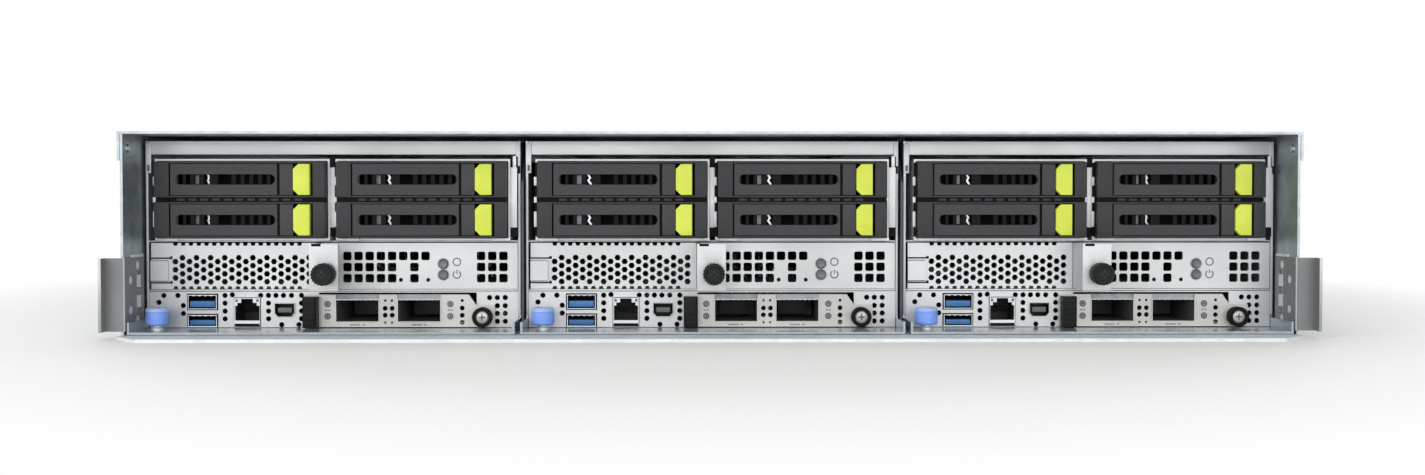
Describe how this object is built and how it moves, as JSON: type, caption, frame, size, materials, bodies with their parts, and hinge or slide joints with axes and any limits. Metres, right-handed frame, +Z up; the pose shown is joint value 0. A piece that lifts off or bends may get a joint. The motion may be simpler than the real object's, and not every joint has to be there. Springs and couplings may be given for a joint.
{
  "type": "rack server",
  "caption": "Low rack chassis with a sheet-metal shell and slide-in server sleds side by side; drives on levers, plug-in network cards, fans and a rear bus-bar connector.",
  "frame": {"origin": "middle of the underside", "axes": "+X to the right seen from the front, +Y from the front to the rear, +Z up"},
  "size_m": [0.547, 0.8, 0.093],
  "materials": {
    "zinc_sheet": "zinc-plated sheet, satin",
    "ear_steel": "stainless sheet, brown-grey",
    "sled_steel": "zinc-plated sheet, light grey",
    "card_steel": "bright nickel-plated sheet",
    "board_green": "green lacquered circuit board with its parts",
    "power_plastic": "black moulded plastic and steel bar",
    "carrier_grey": "dark grey carrier around a cast drive",
    "lever_grey": "dark grey moulded plastic with a lime grip",
    "black_plastic": "black knurled plastic",
    "blue_plastic": "light blue moulded plastic",
    "button_plastic": "grey translucent plastic",
    "fan_plastic": "black moulded plastic"
  },
  "bodies": {
    "chassis": {"chassis_floor": "zinc_sheet", "chassis_walls": "zinc_sheet", "chassis_cover": "zinc_sheet", "chassis_dividers": "zinc_sheet", "rack_ears": "ear_steel", "power_backplane": "power_plastic"},
    "sled_left": {"sled_tray_left": "sled_steel", "sled_front_left": "sled_steel", "sled_electronics_left": "board_green"},
    "drive_left_1": {"drive_carrier_left_1": "carrier_grey"},
    "lever_left_1": {"drive_lever_left_1": "lever_grey"},
    "drive_left_2": {"drive_carrier_left_2": "carrier_grey"},
    "lever_left_2": {"drive_lever_left_2": "lever_grey"},
    "drive_left_3": {"drive_carrier_left_3": "carrier_grey"},
    "lever_left_3": {"drive_lever_left_3": "lever_grey"},
    "drive_left_4": {"drive_carrier_left_4": "carrier_grey"},
    "lever_left_4": {"drive_lever_left_4": "lever_grey"},
    "network_card_left": {"network_card_left": "card_steel"},
    "thumbscrew_left": {"thumbscrew_left": "black_plastic"},
    "release_plunger_left": {"release_plunger_left": "blue_plastic"},
    "power_button_left": {"power_button_left": "button_plastic"},
    "identify_button_left": {"identify_button_left": "button_plastic"},
    "fan_rotor_left_left": {"fan_rotor_left_left": "fan_plastic"},
    "fan_rotor_left_right": {"fan_rotor_left_right": "fan_plastic"},
    "sled_middle": {"sled_tray_middle": "sled_steel", "sled_front_middle": "sled_steel", "sled_electronics_middle": "board_green"},
    "drive_middle_1": {"drive_carrier_middle_1": "carrier_grey"},
    "lever_middle_1": {"drive_lever_middle_1": "lever_grey"},
    "drive_middle_2": {"drive_carrier_middle_2": "carrier_grey"},
    "lever_middle_2": {"drive_lever_middle_2": "lever_grey"},
    "drive_middle_3": {"drive_carrier_middle_3": "carrier_grey"},
    "lever_middle_3": {"drive_lever_middle_3": "lever_grey"},
    "drive_middle_4": {"drive_carrier_middle_4": "carrier_grey"},
    "lever_middle_4": {"drive_lever_middle_4": "lever_grey"},
    "network_card_middle": {"network_card_middle": "card_steel"},
    "thumbscrew_middle": {"thumbscrew_middle": "black_plastic"},
    "release_plunger_middle": {"release_plunger_middle": "blue_plastic"},
    "power_button_middle": {"power_button_middle": "button_plastic"},
    "identify_button_middle": {"identify_button_middle": "button_plastic"},
    "fan_rotor_middle_left": {"fan_rotor_middle_left": "fan_plastic"},
    "fan_rotor_middle_right": {"fan_rotor_middle_right": "fan_plastic"},
    "sled_right": {"sled_tray_right": "sled_steel", "sled_front_right": "sled_steel", "sled_electronics_right": "board_green"},
    "drive_right_1": {"drive_carrier_right_1": "carrier_grey"},
    "lever_right_1": {"drive_lever_right_1": "lever_grey"},
    "drive_right_2": {"drive_carrier_right_2": "carrier_grey"},
    "lever_right_2": {"drive_lever_right_2": "lever_grey"},
    "drive_right_3": {"drive_carrier_right_3": "carrier_grey"},
    "lever_right_3": {"drive_lever_right_3": "lever_grey"},
    "drive_right_4": {"drive_carrier_right_4": "carrier_grey"},
    "lever_right_4": {"drive_lever_right_4": "lever_grey"},
    "network_card_right": {"network_card_right": "card_steel"},
    "thumbscrew_right": {"thumbscrew_right": "black_plastic"},
    "release_plunger_right": {"release_plunger_right": "blue_plastic"},
    "power_button_right": {"power_button_right": "button_plastic"},
    "identify_button_right": {"identify_button_right": "button_plastic"},
    "fan_rotor_right_left": {"fan_rotor_right_left": "fan_plastic"},
    "fan_rotor_right_right": {"fan_rotor_right_right": "fan_plastic"}
  },
  "joints": [
    {"name": "sled_left_slide", "type": "slide", "parent": "chassis", "child": "sled_left", "axis": [0, -1, 0], "range_m": [0, 0.6]},
    {"name": "drive_left_1_slide", "type": "slide", "parent": "sled_left", "child": "drive_left_1", "axis": [0, -1, 0], "range_m": [0, 0.105]},
    {"name": "lever_left_1_swing", "type": "hinge", "parent": "drive_left_1", "child": "lever_left_1", "pos_m": [-0.2487, -0.3552, 0.0716], "axis": [0, 0, -1], "range_deg": [0, 70]},
    {"name": "drive_left_2_slide", "type": "slide", "parent": "sled_left", "child": "drive_left_2", "axis": [0, -1, 0], "range_m": [0, 0.105]},
    {"name": "lever_left_2_swing", "type": "hinge", "parent": "drive_left_2", "child": "lever_left_2", "pos_m": [-0.165, -0.3552, 0.0716], "axis": [0, 0, -1], "range_deg": [0, 70]},
    {"name": "drive_left_3_slide", "type": "slide", "parent": "sled_left", "child": "drive_left_3", "axis": [0, -1, 0], "range_m": [0, 0.105]},
    {"name": "lever_left_3_swing", "type": "hinge", "parent": "drive_left_3", "child": "lever_left_3", "pos_m": [-0.2487, -0.3552, 0.0529], "axis": [0, 0, -1], "range_deg": [0, 70]},
    {"name": "drive_left_4_slide", "type": "slide", "parent": "sled_left", "child": "drive_left_4", "axis": [0, -1, 0], "range_m": [0, 0.105]},
    {"name": "lever_left_4_swing", "type": "hinge", "parent": "drive_left_4", "child": "lever_left_4", "pos_m": [-0.165, -0.3552, 0.0529], "axis": [0, 0, -1], "range_deg": [0, 70]},
    {"name": "network_card_left_slide", "type": "slide", "parent": "sled_left", "child": "network_card_left", "axis": [0, -1, 0], "range_m": [0, 0.11]},
    {"name": "thumbscrew_left_turn", "type": "hinge", "parent": "sled_left", "child": "thumbscrew_left", "pos_m": [-0.176, -0.369, 0.0285], "axis": [0, -1, 0], "continuous": true},
    {"name": "release_plunger_left_lift", "type": "slide", "parent": "sled_left", "child": "release_plunger_left", "axis": [0, 0, 1], "range_m": [0, 0.006], "stiffness_N_per_m": 400, "springref_m": -0.004},
    {"name": "power_button_left_press", "type": "slide", "parent": "sled_left", "child": "power_button_left", "axis": [0, 1, 0], "range_m": [0, 0.001], "stiffness_N_per_m": 500, "springref_m": -0.001},
    {"name": "identify_button_left_press", "type": "slide", "parent": "sled_left", "child": "identify_button_left", "axis": [0, 1, 0], "range_m": [0, 0.001], "stiffness_N_per_m": 500, "springref_m": -0.001},
    {"name": "fan_rotor_left_left_spin", "type": "hinge", "parent": "sled_left", "child": "fan_rotor_left_left", "pos_m": [-0.2183, 0.27, 0.0427], "axis": [0, 1, 0], "continuous": true},
    {"name": "fan_rotor_left_right_spin", "type": "hinge", "parent": "sled_left", "child": "fan_rotor_left_right", "pos_m": [-0.1347, 0.27, 0.0427], "axis": [0, 1, 0], "continuous": true},
    {"name": "sled_middle_slide", "type": "slide", "parent": "chassis", "child": "sled_middle", "axis": [0, -1, 0], "range_m": [0, 0.6]},
    {"name": "drive_middle_1_slide", "type": "slide", "parent": "sled_middle", "child": "drive_middle_1", "axis": [0, -1, 0], "range_m": [0, 0.105]},
    {"name": "lever_middle_1_swing", "type": "hinge", "parent": "drive_middle_1", "child": "lever_middle_1", "pos_m": [-0.0722, -0.3552, 0.0716], "axis": [0, 0, -1], "range_deg": [0, 70]},
    {"name": "drive_middle_2_slide", "type": "slide", "parent": "sled_middle", "child": "drive_middle_2", "axis": [0, -1, 0], "range_m": [0, 0.105]},
    {"name": "lever_middle_2_swing", "type": "hinge", "parent": "drive_middle_2", "child": "lever_middle_2", "pos_m": [0.0115, -0.3552, 0.0716], "axis": [0, 0, -1], "range_deg": [0, 70]},
    {"name": "drive_middle_3_slide", "type": "slide", "parent": "sled_middle", "child": "drive_middle_3", "axis": [0, -1, 0], "range_m": [0, 0.105]},
    {"name": "lever_middle_3_swing", "type": "hinge", "parent": "drive_middle_3", "child": "lever_middle_3", "pos_m": [-0.0722, -0.3552, 0.0529], "axis": [0, 0, -1], "range_deg": [0, 70]},
    {"name": "drive_middle_4_slide", "type": "slide", "parent": "sled_middle", "child": "drive_middle_4", "axis": [0, -1, 0], "range_m": [0, 0.105]},
    {"name": "lever_middle_4_swing", "type": "hinge", "parent": "drive_middle_4", "child": "lever_middle_4", "pos_m": [0.0115, -0.3552, 0.0529], "axis": [0, 0, -1], "range_deg": [0, 70]},
    {"name": "network_card_middle_slide", "type": "slide", "parent": "sled_middle", "child": "network_card_middle", "axis": [0, -1, 0], "range_m": [0, 0.11]},
    {"name": "thumbscrew_middle_turn", "type": "hinge", "parent": "sled_middle", "child": "thumbscrew_middle", "pos_m": [0.0005, -0.369, 0.0285], "axis": [0, -1, 0], "continuous": true},
    {"name": "release_plunger_middle_lift", "type": "slide", "parent": "sled_middle", "child": "release_plunger_middle", "axis": [0, 0, 1], "range_m": [0, 0.006], "stiffness_N_per_m": 400, "springref_m": -0.004},
    {"name": "power_button_middle_press", "type": "slide", "parent": "sled_middle", "child": "power_button_middle", "axis": [0, 1, 0], "range_m": [0, 0.001], "stiffness_N_per_m": 500, "springref_m": -0.001},
    {"name": "identify_button_middle_press", "type": "slide", "parent": "sled_middle", "child": "identify_button_middle", "axis": [0, 1, 0], "range_m": [0, 0.001], "stiffness_N_per_m": 500, "springref_m": -0.001},
    {"name": "fan_rotor_middle_left_spin", "type": "hinge", "parent": "sled_middle", "child": "fan_rotor_middle_left", "pos_m": [-0.0418, 0.27, 0.0427], "axis": [0, 1, 0], "continuous": true},
    {"name": "fan_rotor_middle_right_spin", "type": "hinge", "parent": "sled_middle", "child": "fan_rotor_middle_right", "pos_m": [0.0418, 0.27, 0.0427], "axis": [0, 1, 0], "continuous": true},
    {"name": "sled_right_slide", "type": "slide", "parent": "chassis", "child": "sled_right", "axis": [0, -1, 0], "range_m": [0, 0.6]},
    {"name": "drive_right_1_slide", "type": "slide", "parent": "sled_right", "child": "drive_right_1", "axis": [0, -1, 0], "range_m": [0, 0.105]},
    {"name": "lever_right_1_swing", "type": "hinge", "parent": "drive_right_1", "child": "lever_right_1", "pos_m": [0.1043, -0.3552, 0.0716], "axis": [0, 0, -1], "range_deg": [0, 70]},
    {"name": "drive_right_2_slide", "type": "slide", "parent": "sled_right", "child": "drive_right_2", "axis": [0, -1, 0], "range_m": [0, 0.105]},
    {"name": "lever_right_2_swing", "type": "hinge", "parent": "drive_right_2", "child": "lever_right_2", "pos_m": [0.188, -0.3552, 0.0716], "axis": [0, 0, -1], "range_deg": [0, 70]},
    {"name": "drive_right_3_slide", "type": "slide", "parent": "sled_right", "child": "drive_right_3", "axis": [0, -1, 0], "range_m": [0, 0.105]},
    {"name": "lever_right_3_swing", "type": "hinge", "parent": "drive_right_3", "child": "lever_right_3", "pos_m": [0.1043, -0.3552, 0.0529], "axis": [0, 0, -1], "range_deg": [0, 70]},
    {"name": "drive_right_4_slide", "type": "slide", "parent": "sled_right", "child": "drive_right_4", "axis": [0, -1, 0], "range_m": [0, 0.105]},
    {"name": "lever_right_4_swing", "type": "hinge", "parent": "drive_right_4", "child": "lever_right_4", "pos_m": [0.188, -0.3552, 0.0529], "axis": [0, 0, -1], "range_deg": [0, 70]},
    {"name": "network_card_right_slide", "type": "slide", "parent": "sled_right", "child": "network_card_right", "axis": [0, -1, 0], "range_m": [0, 0.11]},
    {"name": "thumbscrew_right_turn", "type": "hinge", "parent": "sled_right", "child": "thumbscrew_right", "pos_m": [0.177, -0.369, 0.0285], "axis": [0, -1, 0], "continuous": true},
    {"name": "release_plunger_right_lift", "type": "slide", "parent": "sled_right", "child": "release_plunger_right", "axis": [0, 0, 1], "range_m": [0, 0.006], "stiffness_N_per_m": 400, "springref_m": -0.004},
    {"name": "power_button_right_press", "type": "slide", "parent": "sled_right", "child": "power_button_right", "axis": [0, 1, 0], "range_m": [0, 0.001], "stiffness_N_per_m": 500, "springref_m": -0.001},
    {"name": "identify_button_right_press", "type": "slide", "parent": "sled_right", "child": "identify_button_right", "axis": [0, 1, 0], "range_m": [0, 0.001], "stiffness_N_per_m": 500, "springref_m": -0.001},
    {"name": "fan_rotor_right_left_spin", "type": "hinge", "parent": "sled_right", "child": "fan_rotor_right_left", "pos_m": [0.1347, 0.27, 0.0427], "axis": [0, 1, 0], "continuous": true},
    {"name": "fan_rotor_right_right_spin", "type": "hinge", "parent": "sled_right", "child": "fan_rotor_right_right", "pos_m": [0.2183, 0.27, 0.0427], "axis": [0, 1, 0], "continuous": true}
  ]
}
